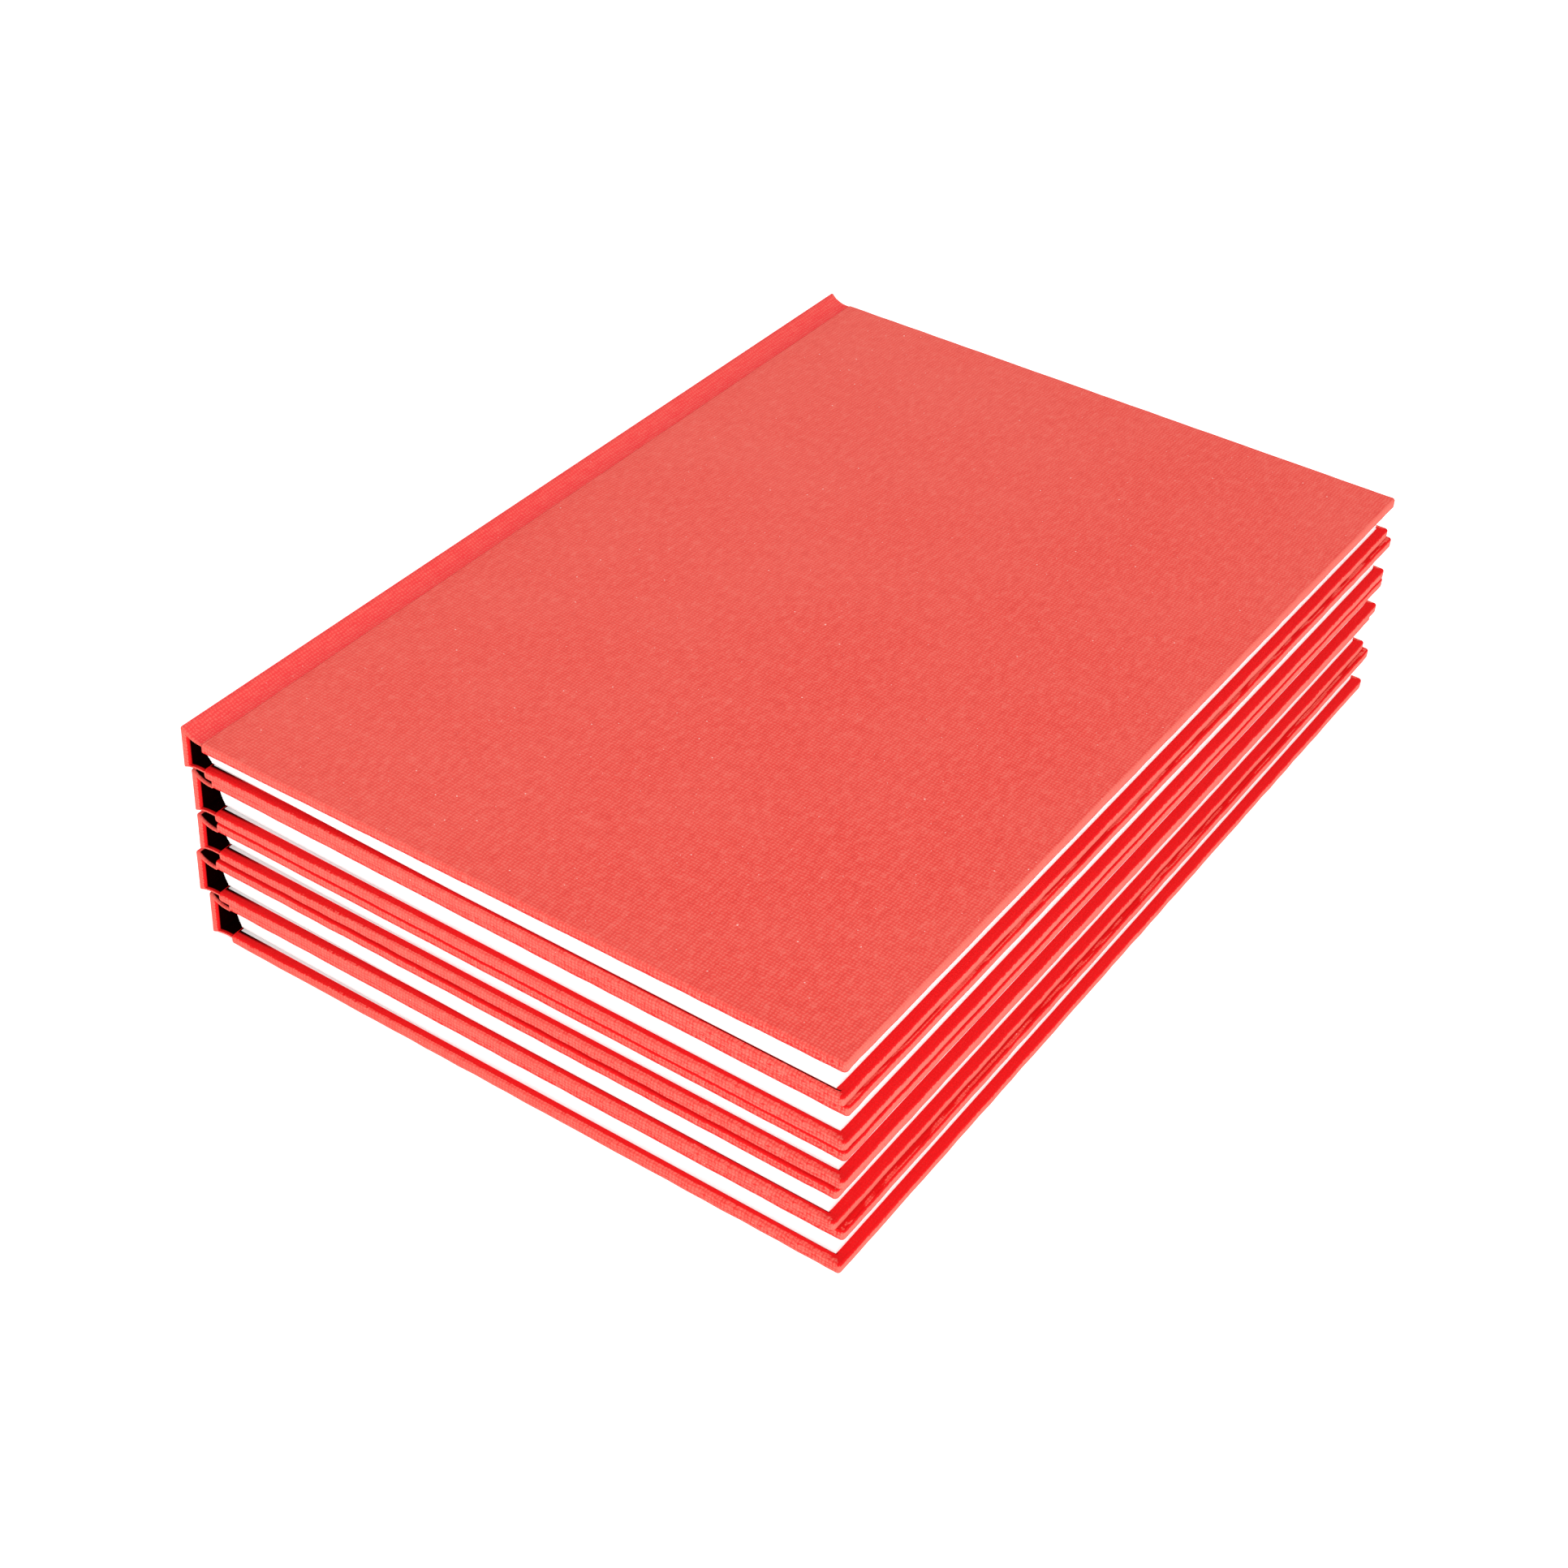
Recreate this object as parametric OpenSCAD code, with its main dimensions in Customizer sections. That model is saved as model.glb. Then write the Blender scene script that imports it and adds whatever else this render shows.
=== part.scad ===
// A stack of case-bound notebooks in coral bookcloth.
// X runs from the spine to the fore-edge, Y from the tail to the head, Z up.
// The origin is the middle of the bottom notebook's underside.

/* [Pages] */
// Height of a page, tail to head
page_l = 215.9; // [150:0.1:300]
// Width of a page, spine edge to fore-edge
page_w = 139.5; // [90:0.1:220]
// Thickness of the leaves between the endpapers
leaves_t = 5.1; // [4:0.1:15]
// Thickness of an endpaper
endpaper_t = 0.15; // [0.1:0.05:0.3]
// Thickness of the lining glued to the spine edge of the pages
lining_t = 0.3; // [0.2:0.1:0.8]
// How far the lining stops short of the head and the tail of the pages
lining_margin = 10; // [4:1:40]
// How far the spine edge of the pages slants from top to bottom
page_slant = 1.2; // [0:0.1:2]
// How high the pages lift off the back endpaper at their spine edge
page_lift = 1; // [0:0.1:1.5]
// Width over which the pages lift
page_lift_w = 60; // [6:1:80]

/* [Covers] */
// Thickness of a cover board
board_t = 1.8; // [1.2:0.1:4]
// Thickness of the bookcloth
cloth_t = 0.25; // [0.15:0.05:0.4]
// How far the covers stand out beyond the pages at the head and the tail
square_w = 2; // [1.5:0.5:8]
// How far they stand out at the fore-edge
fore_square_w = 2.2; // [1.5:0.1:8]
// Width of the cloth turned in over the inner faces
turn_in = 15; // [10:1:25]
// Radius of the covered corners, seen from above
corner_r = 0.8; // [0.6:0.1:4]
// Radius of the covered edges
edge_r = 0.45; // [0.45:0.05:0.8]

/* [Spine and joints] */
// Thickness of the spine board
spine_board_t = 1.2; // [0.6:0.1:2.4]
// Open width between the spine and the lined pages
hollow_w = 3; // [1.5:0.5:6]
// How far the spine stays inside the outer faces of the covers
spine_inset = 0.3; // [0:0.1:0.8]
// How far the covers start beyond the spine edge of the pages
board_set = 0.5; // [0.3:0.1:3]
// Distance from the bottom line of a joint to its cover board
valley_set = 1.1; // [0.9:0.1:1.6]
// Clearance between the cloth of a front joint and the endpaper under it
joint_clear = 0.05; // [0.05:0.05:0.3]
// The same clearance at the shallower back joints
back_joint_clear = 0.75; // [0.3:0.05:0.9]
// Clearance between the turned-in cloth of a joint and the lined pages
turn_in_clear = 0.2; // [0.1:0.1:0.6]

/* [Top notebook] */
// How far its front cover dips at the joint
cover_dip = 1.9; // [0.5:0.1:2.2]
// How far its front cover stands up at the fore-edge
cover_swell = 0; // [0:0.1:3]
// Step down from the dipped cover to the bottom line of its joint
joint_step = 0.3; // [0.1:0.1:0.5]
// Half width of the slot that keeps the turning cloth clear of the fixed cloth
hinge_slot = 0.55; // [0.3:0.05:0.6]
// Clearance between the leaf pasted to its front cover and the loose leaf
leaf_clear = 0.05; // [0.05:0.05:0.3]

/* [Hidden] */
PIECES = ["cloth", "front_board", "back_board", "spine_board", "front_endpaper",
          "back_endpaper", "pages", "spine_lining"];
TOP_PIECES = ["cover_cloth", "spine_cloth", "front_board", "back_board", "spine_board",
              "front_pastedown", "front_flyleaf", "back_endpaper", "pages", "spine_lining"];

// The notebooks are counted from the bottom, 1 to 5, and each list gives the bottom one first.
top = 5;
// How much fuller or flatter than leaves_t the leaves of each notebook are
fullness = [0.4, 0, -1.1, 0.2, -0.2];
// How far each notebook has slid along X and Y from the bottom one
slide_x = [0, -1.3, -0.6, -0.8, -1.7];
slide_y = [0, -1, -0.5, -0.5, -1.3];
// How far each notebook is turned about its middle, in degrees
turn = [0.1, 0, 0, -0.05, 0];
// How far the pages of each notebook sit from the middle of their case, towards the head
page_slide = [0, -0.2, 0, 0, -0.7];

cover_l = page_l + 2 * square_w;
cover_t = board_t + 2 * cloth_t;
spine_in = cloth_t + spine_board_t;
page_x = spine_in + cloth_t + hollow_w + lining_t;
page_end = page_x + page_w;
notebook_w = page_end + fore_square_w;
board_x = page_x + board_set;
board_w = notebook_w - cloth_t - board_x;
valley_x = board_x - valley_set;
turn_in_x = page_x - lining_t - turn_in_clear;
// The width of cloth that a joint takes under the edge of its cover board
lap = 0.1;
// A cut runs this far past the faces that it opens
past = 1;
// Number of flats in a rounded edge
flats = 3;

function leaves(k) = leaves_t + fullness[k - 1];
function white(k) = leaves(k) + 4 * endpaper_t;
function thickness(k) = white(k) + 2 * cover_t;
function base(k) = k == 1 ? 0 : base(k - 1) + thickness(k - 1);
function dip(k) = k == top ? cover_dip : 0;
function leaf_gap(k) = k == top ? leaf_clear : 0;
function tilt(k) = k == top ? atan((cover_dip + cover_swell) / board_w) : 0;
// Height of the inner face of the front cover where it starts
function front_in(k) = thickness(k) - cover_t - dip(k);
// Height of the front cover's inner face at x, and of the planes parallel to it below
function under_front(k, x, depth) = front_in(k) + (x - board_x) * tan(tilt(k)) - depth / cos(tilt(k));
function leaf_top(k, x) = under_front(k, x, endpaper_t + leaf_gap(k));
function pages_top(k, x) = under_front(k, x, 2 * endpaper_t + leaf_gap(k));

function spine_top(k) = thickness(k) - spine_inset;
function front_valley(k) = min(thickness(k) - cover_t + cloth_t + joint_clear,
                               k == top ? front_in(k) + cover_t - joint_step : thickness(k));
back_valley = cover_t - cloth_t - back_joint_clear;
// Height of the spine-side edge of the front board that its cloth leaves bare, under the joint
function bare_front(k) = front_valley(k) - front_in(k) - cloth_t;

// A joint's outer face falls from the spine's edge to its bottom line along a parabola.
joint_x = [0, cloth_t, spine_in, (2 * spine_in + valley_x) / 3, (spine_in + 2 * valley_x) / 3, valley_x];
function reach(x) = max(0, 1 - x / valley_x);
function joint_z(edge, valley, x) = valley + (edge - valley) * pow(reach(x), 2);
function cloth_z(edge, valley, x) = cloth_t * sqrt(1 + pow(2 * (edge - valley) / valley_x * reach(x), 2));
// Height of the joint's surface, a number of cloth layers in from the outer face
function front_joint(k, x, layers) = joint_z(spine_top(k), front_valley(k), x)
    - layers * cloth_z(spine_top(k), front_valley(k), x);
function back_joint(x, layers) = joint_z(spine_inset, back_valley, x)
    + layers * cloth_z(spine_inset, back_valley, x);

function reversed(list) = [for (i = [len(list) - 1:-1:0]) list[i]];
function from_x(start) = [for (x = joint_x) if (x >= start) x];
// Points down the inner or outer side of the joints and the spine, front joint first
function wrap(k, start, end, layers) = concat(
    [[end, front_joint(k, end, layers)]],
    [for (x = reversed(from_x(start))) if (x < end) [x, front_joint(k, x, layers)]],
    [for (x = from_x(start)) if (x < end) [x, back_joint(x, layers)]],
    [[end, back_joint(end, layers)]]);

// A rectangle from a to b with its four corners rounded, the radii given from the lowest
// corner on, anticlockwise
function round_corner(at, r, quarter) = r <= 0 ? [at] : [for (i = [0:flats])
    at + r * [cos(quarter * 90 + i * 90 / flats), sin(quarter * 90 + i * 90 / flats)]];
function rounded(a, b, r) = concat(
    round_corner(a + [r[0], r[0]], r[0], 2),
    round_corner([b[0] - r[1], a[1] + r[1]], r[1], 3),
    round_corner(b - [r[2], r[2]], r[2], 0),
    round_corner([a[0] + r[3], b[1] - r[3]], r[3], 1));

// Draws an outline given in X and Z as a prism from y0 to y1
module along_y(y0, y1, points) {
    translate([0, y1, 0]) rotate([90, 0, 0]) linear_extrude(y1 - y0) polygon(points);
}

// Puts a notebook in its place in the stack
module in_stack(k) {
    translate([slide_x[k - 1], slide_y[k - 1], base(k)]) rotate([0, 0, turn[k - 1]])
        translate([-notebook_w / 2, -cover_l / 2, 0]) children();
}

// Puts the pages of a notebook in their place
module in_case(k) {
    in_stack(k) translate([0, page_slide[k - 1], 0]) children();
}

// A cover is drawn with its inner face at z 0 and its board starting at x 0.
module at_front(k) {
    translate([board_x, 0, front_in(k)]) rotate([0, -tilt(k), 0]) children();
}

module at_back() {
    translate([board_x, 0, cover_t]) mirror([0, 0, 1]) children();
}

// The covered board when inset is 0, and the bare board when it is cloth_t
module slab(inset) {
    low = [inset - cloth_t, inset];
    high = [board_w + cloth_t - inset, cover_t - inset];
    r = edge_r - inset;
    r_corner = corner_r - inset;
    intersection() {
        along_y(inset, cover_l - inset, rounded(low, high, [0, r, r, r]));
        translate([low[0], 0, 0]) rotate([90, 0, 90]) linear_extrude(high[0] - low[0])
            polygon(rounded([inset, inset], [cover_l - inset, high[1]], [r, r, r, r]));
        translate([0, 0, inset]) linear_extrude(cover_t - 2 * inset)
            polygon(rounded([low[0], inset], [high[0], cover_l - inset], [0, r_corner, r_corner, 0]));
    }
}

module board() {
    slab(cloth_t);
}

// The part of the inner face that the turned-in cloth leaves bare
module bare_middle(z0, z1, margin) {
    translate([-cloth_t - past, turn_in + margin, z0])
        cube([board_w + 2 * cloth_t + past - turn_in - margin, cover_l - 2 * (turn_in + margin), z1 - z0]);
}

// The cloth of one cover, wrapped round its edges and turned in
module cover_wrap(bare_edge) {
    difference() {
        slab(0);
        bare_middle(-past, cloth_t, 0);
        translate([-cloth_t - past, turn_in, -past])
            cube([cloth_t + past, cover_l - 2 * turn_in, bare_edge + past]);
    }
}

// The cloth of the spine and both joints, with its ends turned in at the head and the tail
module spine_wrap(k) {
    end = board_x + lap;
    along_y(0, cover_l, concat(wrap(k, 0, end, 0), reversed(wrap(k, cloth_t, end, 1))));
    for (y = [0, cover_l - turn_in])
        along_y(y, y + turn_in,
                concat(wrap(k, spine_in, turn_in_x, 1), reversed(inner_wrap(k))));
    for (y = [0, cover_l - cloth_t])
        along_y(y, y + cloth_t, spine_board_outline(k));
}

function inner_wrap(k) = [for (p = wrap(k, spine_in, turn_in_x, 2)) p[0] > spine_in ? p : p + [cloth_t, 0]];

function spine_board_outline(k) = [
    [cloth_t, back_joint(cloth_t, 1)], [spine_in, back_joint(spine_in, 1)],
    [spine_in, front_joint(k, spine_in, 1)], [cloth_t, front_joint(k, cloth_t, 1)]];

// The space in which the front cover of the top notebook turns, from a given x on
module front_side(k, x) {
    translate([x, -past, thickness(k) / 2])
        cube([notebook_w, cover_l + 2 * past, thickness(k)]);
}

module cloth(k) {
    color([0.93, 0.33, 0.31]) in_stack(k) difference() {
        union() {
            at_front(k) cover_wrap(bare_front(k));
            at_back() cover_wrap(back_valley);
            spine_wrap(k);
        }
        at_front(k) board();
        at_back() board();
    }
}

module cover_cloth(k) {
    color([0.93, 0.33, 0.31]) in_stack(k) difference() {
        union() {
            at_front(k) cover_wrap(bare_front(k));
            intersection() {
                spine_wrap(k);
                front_side(k, valley_x + hinge_slot);
            }
        }
        at_front(k) board();
    }
}

module spine_cloth(k) {
    color([0.90, 0.27, 0.27]) in_stack(k) difference() {
        union() {
            at_back() cover_wrap(back_valley);
            spine_wrap(k);
        }
        at_back() board();
        front_side(k, valley_x - hinge_slot);
    }
}

module front_board(k) {
    color([0.62, 0.60, 0.57]) in_stack(k) at_front(k) board();
}

module back_board(k) {
    color([0.62, 0.60, 0.57]) in_stack(k) at_back() board();
}

module spine_board(k) {
    color([0.62, 0.60, 0.57]) in_stack(k)
        along_y(cloth_t, cover_l - cloth_t, spine_board_outline(k));
}

// The leaf pasted to a cover: it lies on the turned-in cloth and dips to the bare board between
module pastedown() {
    difference() {
        union() {
            translate([board_set, square_w, -endpaper_t])
                cube([page_end - board_x - board_set, page_l, endpaper_t]);
            intersection() {
                bare_middle(-endpaper_t, cloth_t, 0);
                translate([board_set, 0, -endpaper_t])
                    cube([board_w, cover_l, cover_t]);
            }
        }
        bare_middle(-endpaper_t - past, cloth_t - endpaper_t, endpaper_t);
    }
}

// The loose leaf of an endpaper, against the pages
module front_leaf(k) {
    along_y(square_w, cover_l - square_w, [
        [page_x, pages_top(k, page_x)], [page_end, pages_top(k, page_end)],
        [page_end, leaf_top(k, page_end)], [page_x, leaf_top(k, page_x)]]);
}

module front_endpaper(k) {
    color([0.97, 0.97, 0.95]) {
        in_stack(k) at_front(k) pastedown();
        in_case(k) front_leaf(k);
    }
}

module front_pastedown(k) {
    color([0.97, 0.97, 0.95]) in_stack(k) at_front(k) pastedown();
}

module front_flyleaf(k) {
    color([0.97, 0.97, 0.95]) in_case(k) front_leaf(k);
}

// The underside of the pages, from the spine edge to the fore-edge
page_bottom = cover_t + 2 * endpaper_t;
function page_foot(drop) = [[page_x + page_slant, page_bottom + page_lift - drop],
    [page_x + page_lift_w, page_bottom - drop], [page_end, page_bottom - drop]];

module back_endpaper(k) {
    color([0.97, 0.97, 0.95]) {
        in_stack(k) at_back() pastedown();
        in_case(k) along_y(square_w, cover_l - square_w,
                           concat(page_foot(0), reversed(page_foot(endpaper_t))));
    }
}

// The spine edge of the pages, from top to bottom, moved out by a distance
function page_back(k, out) = [for (s = [0, 0.25, 0.5, 0.75, 1])
    let (high = pages_top(k, page_x), low = page_bottom + page_lift)
    [page_x + page_slant * s * s - out, high + (low - high) * s]];

module pages(k) {
    color([0.99, 0.99, 0.98]) in_case(k) along_y(square_w, cover_l - square_w,
        concat([[page_end, pages_top(k, page_end)]], page_back(k, 0), page_foot(0)));
}

module spine_lining(k) {
    color([0.90, 0.88, 0.83]) in_case(k)
        along_y(square_w + lining_margin, cover_l - square_w - lining_margin,
                concat(page_back(k, 0), reversed(page_back(k, lining_t))));
}

for (k = [1:top - 1]) {
    cloth(k);
    front_endpaper(k);
}
for (k = [1:top]) {
    front_board(k);
    back_board(k);
    spine_board(k);
    back_endpaper(k);
    pages(k);
    spine_lining(k);
}
cover_cloth(top);  // notebook5_cover_cloth
spine_cloth(top);  // notebook5_spine_cloth
front_pastedown(top);  // notebook5_front_pastedown
front_flyleaf(top);  // notebook5_front_flyleaf
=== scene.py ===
# The looks of a stack of five case-bound notebooks in coral bookcloth.
# X runs from the spine to the fore-edge, Y from the tail to the head, Z up, as in the part's source.
import math

import bmesh
import bpy
import numpy as np
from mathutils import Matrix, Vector


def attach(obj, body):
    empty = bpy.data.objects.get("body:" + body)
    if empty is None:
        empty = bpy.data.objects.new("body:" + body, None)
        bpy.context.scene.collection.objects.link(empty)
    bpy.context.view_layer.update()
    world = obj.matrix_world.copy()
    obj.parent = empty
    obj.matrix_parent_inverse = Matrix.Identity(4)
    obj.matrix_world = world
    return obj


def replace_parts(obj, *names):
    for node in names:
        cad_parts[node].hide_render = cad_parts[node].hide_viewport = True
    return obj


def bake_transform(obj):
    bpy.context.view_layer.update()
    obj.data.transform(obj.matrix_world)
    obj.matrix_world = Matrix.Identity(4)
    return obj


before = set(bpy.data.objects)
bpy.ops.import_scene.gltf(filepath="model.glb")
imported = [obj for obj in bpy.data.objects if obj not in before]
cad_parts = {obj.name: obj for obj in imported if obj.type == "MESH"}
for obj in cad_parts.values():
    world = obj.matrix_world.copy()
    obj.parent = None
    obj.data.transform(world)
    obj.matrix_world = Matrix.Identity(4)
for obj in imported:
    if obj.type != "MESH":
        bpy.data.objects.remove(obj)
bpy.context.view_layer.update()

# The sizes of the part's source, in millimetres
MM = 0.001
page_l = 215.9
page_w = 139.5
leaves_t = 5.1
endpaper_t = 0.15
lining_t = 0.3
page_slant = 1.2
page_lift = 1.0
page_lift_w = 60.0
board_t = 1.8
cloth_t = 0.25
square_w = 2.0
fore_square_w = 2.2
turn_in = 15.0
corner_r = 0.8
edge_r = 0.45
spine_board_t = 1.2
hollow_w = 3.0
spine_inset = 0.3
board_set = 0.5
valley_set = 1.1
joint_clear = 0.05
back_joint_clear = 0.75
cover_dip = 1.9
cover_swell = 0.0
joint_step = 0.3
leaf_clear = 0.05
top = 5
fullness = [0.4, 0, -1.1, 0.2, -0.2]
slide_x = [0, -1.3, -0.6, -0.8, -1.7]
slide_y = [0, -1, -0.5, -0.5, -1.3]
turn = [0.1, 0, 0, -0.05, 0]
page_slide = [0, -0.2, 0, 0, -0.7]

cover_l = page_l + 2 * square_w
cover_t = board_t + 2 * cloth_t
spine_in = cloth_t + spine_board_t
page_x = spine_in + cloth_t + hollow_w + lining_t
page_end = page_x + page_w
notebook_w = page_end + fore_square_w
board_x = page_x + board_set
board_w = notebook_w - cloth_t - board_x
valley_x = board_x - valley_set
back_valley = cover_t - cloth_t - back_joint_clear
# A covered board runs from -cloth_t to this along its own X.
cover_end = board_w + cloth_t
# Two layers of bookcloth, as at a joint's turned-in ends
double_t = 2 * cloth_t
# Inner side of the cloth that is turned in over the spine board
spine_back = spine_in + cloth_t


def white(k):
    return leaves_t + fullness[k - 1] + 4 * endpaper_t


def thickness(k):
    return white(k) + 2 * cover_t


def base(k):
    return sum(thickness(j) for j in range(1, k))


def front_in(k):
    return thickness(k) - cover_t - (cover_dip if k == top else 0)


def tilt(k):
    return math.atan((cover_dip + cover_swell) / board_w) if k == top else 0.0


def front_valley(k):
    flush = thickness(k) - cover_t + cloth_t + joint_clear
    return min(flush, front_in(k) + cover_t - joint_step) if k == top else flush


def front_cover(k):
    """Gives the section point at a distance along the front cover and a height over its inner face."""
    c, s = math.cos(tilt(k)), math.sin(tilt(k))
    return lambda x, h: (board_x + x * c - h * s, front_in(k) + x * s + h * c)


def back_cover(x, h):
    return board_x + x, cover_t - h


def to_row(k, points):
    """Moves points of a notebook from its own corner to its place in the stack, in metres."""
    p = np.array(points, float).reshape(-1, 3) - (notebook_w / 2, cover_l / 2, 0)
    a = math.radians(turn[k - 1])
    x = p[:, 0] * math.cos(a) - p[:, 1] * math.sin(a) + slide_x[k - 1]
    y = p[:, 0] * math.sin(a) + p[:, 1] * math.cos(a) + slide_y[k - 1]
    return np.stack([x, y, p[:, 2] + base(k)], 1) * MM


# Finishes

class Finish:
    """A node material, with short names for the nodes that it is made of."""

    def __init__(self, name, roughness, sheen=0.0):
        self.material = bpy.data.materials.new(name)
        self.material.use_nodes = True
        self.nodes = self.material.node_tree.nodes
        self.links = self.material.node_tree.links
        self.shader = self.nodes["Principled BSDF"]
        self.shader.inputs["Roughness"].default_value = roughness
        self.shader.inputs["Sheen Weight"].default_value = sheen
        self.shader.inputs["Sheen Roughness"].default_value = 0.6
        self.shader.inputs["Specular IOR Level"].default_value = 0.25

    def put(self, socket, value):
        if isinstance(value, bpy.types.NodeSocket):
            self.links.new(value, socket)
        else:
            socket.default_value = value

    def math(self, operation, a, b=0.0, c=0.0, clamp=False):
        node = self.nodes.new("ShaderNodeMath")
        node.operation = operation
        node.use_clamp = clamp
        for socket, value in zip(node.inputs, (a, b, c)):
            self.put(socket, value)
        return node.outputs[0]

    def noise(self, vector, scale, detail=2.0, rough=0.5):
        node = self.nodes.new("ShaderNodeTexNoise")
        self.put(node.inputs["Vector"], vector)
        node.inputs["Scale"].default_value = scale
        node.inputs["Detail"].default_value = detail
        node.inputs["Roughness"].default_value = rough
        return node.outputs[0]

    def stretched(self, vector, scale):
        node = self.nodes.new("ShaderNodeMapping")
        self.put(node.inputs["Vector"], vector)
        node.inputs["Scale"].default_value = scale
        return node.outputs[0]

    def ramp(self, value, low, high, start=0.0, end=1.0):
        node = self.nodes.new("ShaderNodeMapRange")
        node.interpolation_type = "SMOOTHSTEP"
        for socket, v in zip(node.inputs, (value, low, high, start, end)):
            self.put(socket, v)
        return node.outputs[0]

    def mix(self, share, a, b, blend="MIX"):
        node = self.nodes.new("ShaderNodeMix")
        node.data_type = "RGBA"
        node.blend_type = blend
        sockets = [s for s in node.inputs if s.type == "RGBA"]
        self.put(node.inputs[0], share)
        for socket, value in zip(sockets, (a, b)):
            self.put(socket, value if isinstance(value, bpy.types.NodeSocket) else (*value, 1.0))
        return next(s for s in node.outputs if s.type == "RGBA")

    def apart(self, vector):
        node = self.nodes.new("ShaderNodeSeparateXYZ")
        self.put(node.inputs[0], vector)
        return node.outputs

    def place(self, kind):
        return self.nodes.new("ShaderNodeTexCoord").outputs[kind]

    def paint(self, colour):
        self.put(self.shader.inputs["Base Color"], colour)

    def bump(self, height, depth, strength=1.0):
        node = self.nodes.new("ShaderNodeBump")
        node.inputs["Strength"].default_value = strength
        node.inputs["Distance"].default_value = depth
        self.put(node.inputs["Height"], height)
        self.put(self.shader.inputs["Normal"], node.outputs[0])


# Distance between neighbouring threads of the bookcloth, across and along a cover, in metres
THREAD_ACROSS = 0.000714
THREAD_ALONG = 0.000735
CORAL = (0.78, 0.072, 0.056)
CORAL_LIGHT = (0.86, 0.21, 0.165)
# Painted highlight: the paler coral of folded edges that face the light
CORAL_EDGE_HIGHLIGHT = (0.77, 0.15, 0.115)
CORAL_DARK = (0.64, 0.036, 0.030)
# Painted shade: the deep saturated red of cloth in shaded turn-ins and gaps
CORAL_INNER_SHADE = (0.70, 0.004, 0.006)
CORAL_SPINE = (0.78, 0.034, 0.042)
# Painted shade: near black for the spine's hollow and the gaps between notebooks
CORAL_SHADE = (0.004, 0.0, 0.0)


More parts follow.
